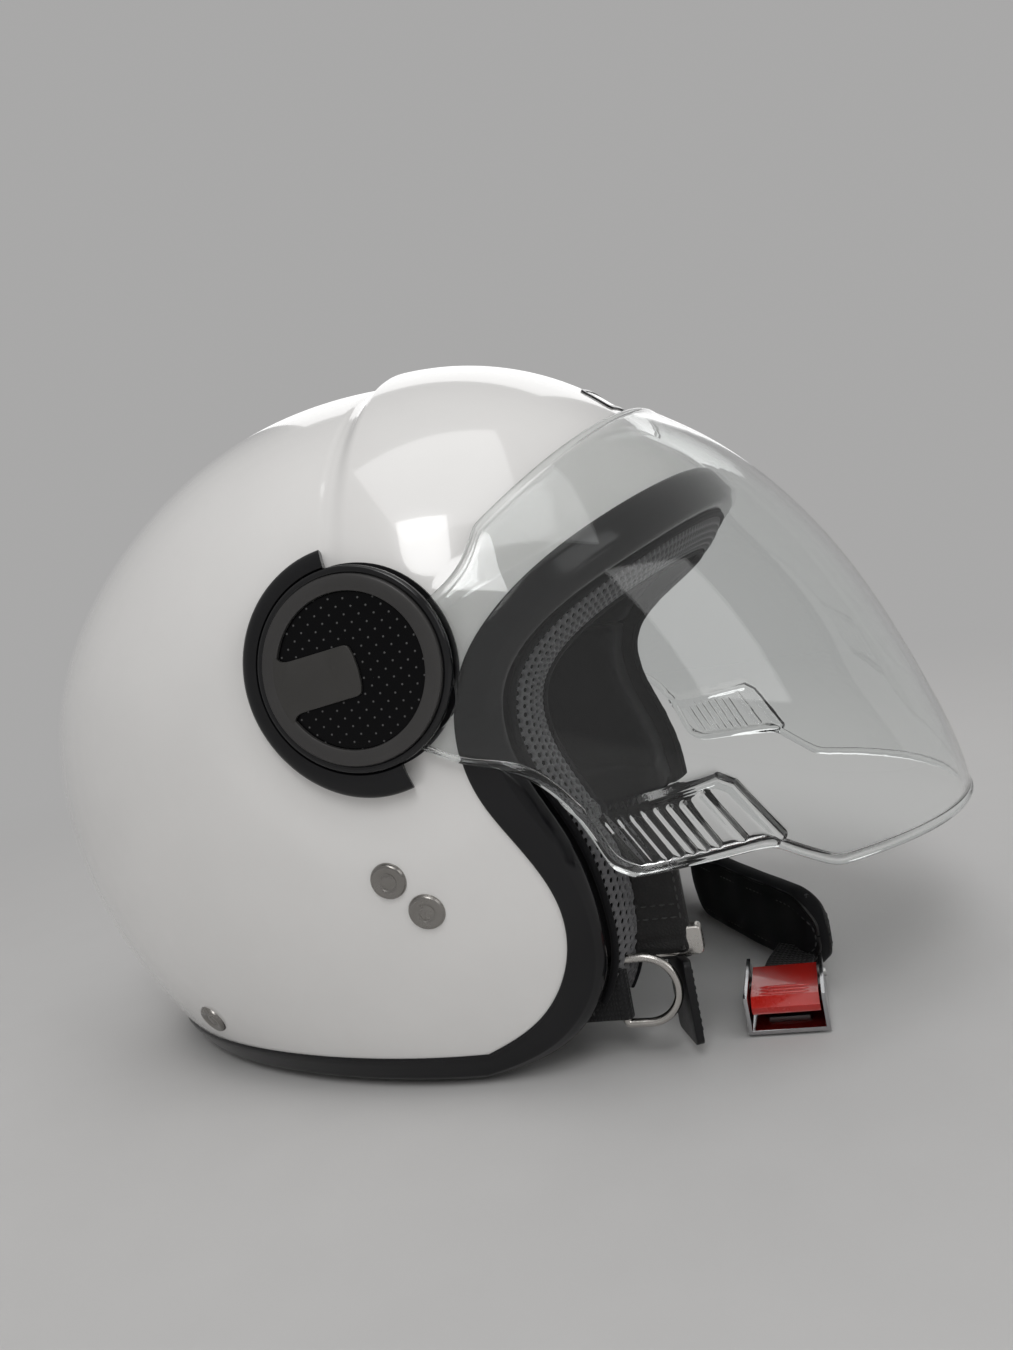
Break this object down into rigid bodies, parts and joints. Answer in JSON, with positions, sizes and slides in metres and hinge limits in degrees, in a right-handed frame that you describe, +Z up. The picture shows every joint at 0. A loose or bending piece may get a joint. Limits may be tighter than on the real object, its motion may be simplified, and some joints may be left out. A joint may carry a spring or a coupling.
{
  "type": "open face motorcycle helmet",
  "caption": "Open face motorcycle helmet with a padded liner, a clear hinged visor on round side pivots, a chin strap with a lock ring, and a lever buckle.",
  "frame": {"origin": "middle of the helmet's box on the plane of its lower rim", "axes": "+Z up with the helmet standing on its rim, -Y the way the face looks, -X the wearer's right and +X the wearer's left"},
  "size_m": [0.2512, 0.341, 0.2325],
  "materials": {
    "shell_paint": "gloss white",
    "edging": "gloss black",
    "impact_foam": "moulded foam",
    "lining": "brushed black",
    "visor_clear": "clear polycarbonate",
    "side_black": "gloss black",
    "crescent_black": "satin black",
    "ring_satin": "satin dark grey",
    "panel_black": "dotted satin black",
    "plate_grey": "satin grey",
    "badge_black": "gloss black and silver",
    "nickel": "satin nickel",
    "steel": "zinc plated",
    "webbing": "woven black",
    "leatherette": "grained black",
    "tongue_black": "satin black",
    "buckle_chrome": "polished",
    "lever_red": "gloss red"
  },
  "bodies": {
    "root": {"outer_shell": "shell_paint", "eps_liner": "impact_foam", "eyeport_trim": "edging", "base_trim": "edging", "crown_pad": "lining", "brow_pad": "lining", "cheek_pad_left": "lining", "cheek_pad_right": "lining", "neck_roll": "lining", "pivot_base_left": "crescent_black", "pivot_base_right": "crescent_black", "pivot_screws": "steel", "pivot_nuts": "steel", "cover_base_left": "side_black", "cover_base_right": "side_black", "cover_ring_left": "ring_satin", "cover_ring_right": "ring_satin", "cover_panel_left": "panel_black", "cover_panel_right": "panel_black", "name_plate_left": "plate_grey", "name_plate_right": "plate_grey", "forehead_badge": "badge_black", "strap_rivets": "nickel", "rear_rivets": "nickel", "anchor_plates": "steel", "right_strap": "webbing", "left_strap": "webbing", "strap_sleeve": "leatherette", "strap_slide": "nickel", "toothed_tongue": "tongue_black", "chin_pad": "leatherette", "buckle_webbing": "webbing", "buckle_frame": "buckle_chrome", "buckle_pin": "steel", "buckle_spring": "steel"},
    "visor": {"visor": "visor_clear"},
    "lock_ring": {"lock_ring": "nickel"},
    "buckle_lever": {"buckle_lever": "lever_red", "buckle_pawl": "steel"}
  },
  "joints": [
    {"name": "visor_hinge", "type": "hinge", "parent": "root", "child": "visor", "pos_m": [0, -0.0035, 0.132], "axis": [-1, 0, 0], "range_deg": [0, 58]},
    {"name": "lock_ring_hinge", "type": "hinge", "parent": "root", "child": "lock_ring", "pos_m": [-0.0889, -0.0535, 0.022], "axis": [0, 0, -1], "range_deg": [0, 50]},
    {"name": "buckle_lever_hinge", "type": "hinge", "parent": "root", "child": "buckle_lever", "pos_m": [-0.0505, -0.099, 0.008], "axis": [0, 1, 0], "range_deg": [0, 60], "stiffness_Nm_per_rad": 0.01, "springref_deg": -17.19}
  ]
}
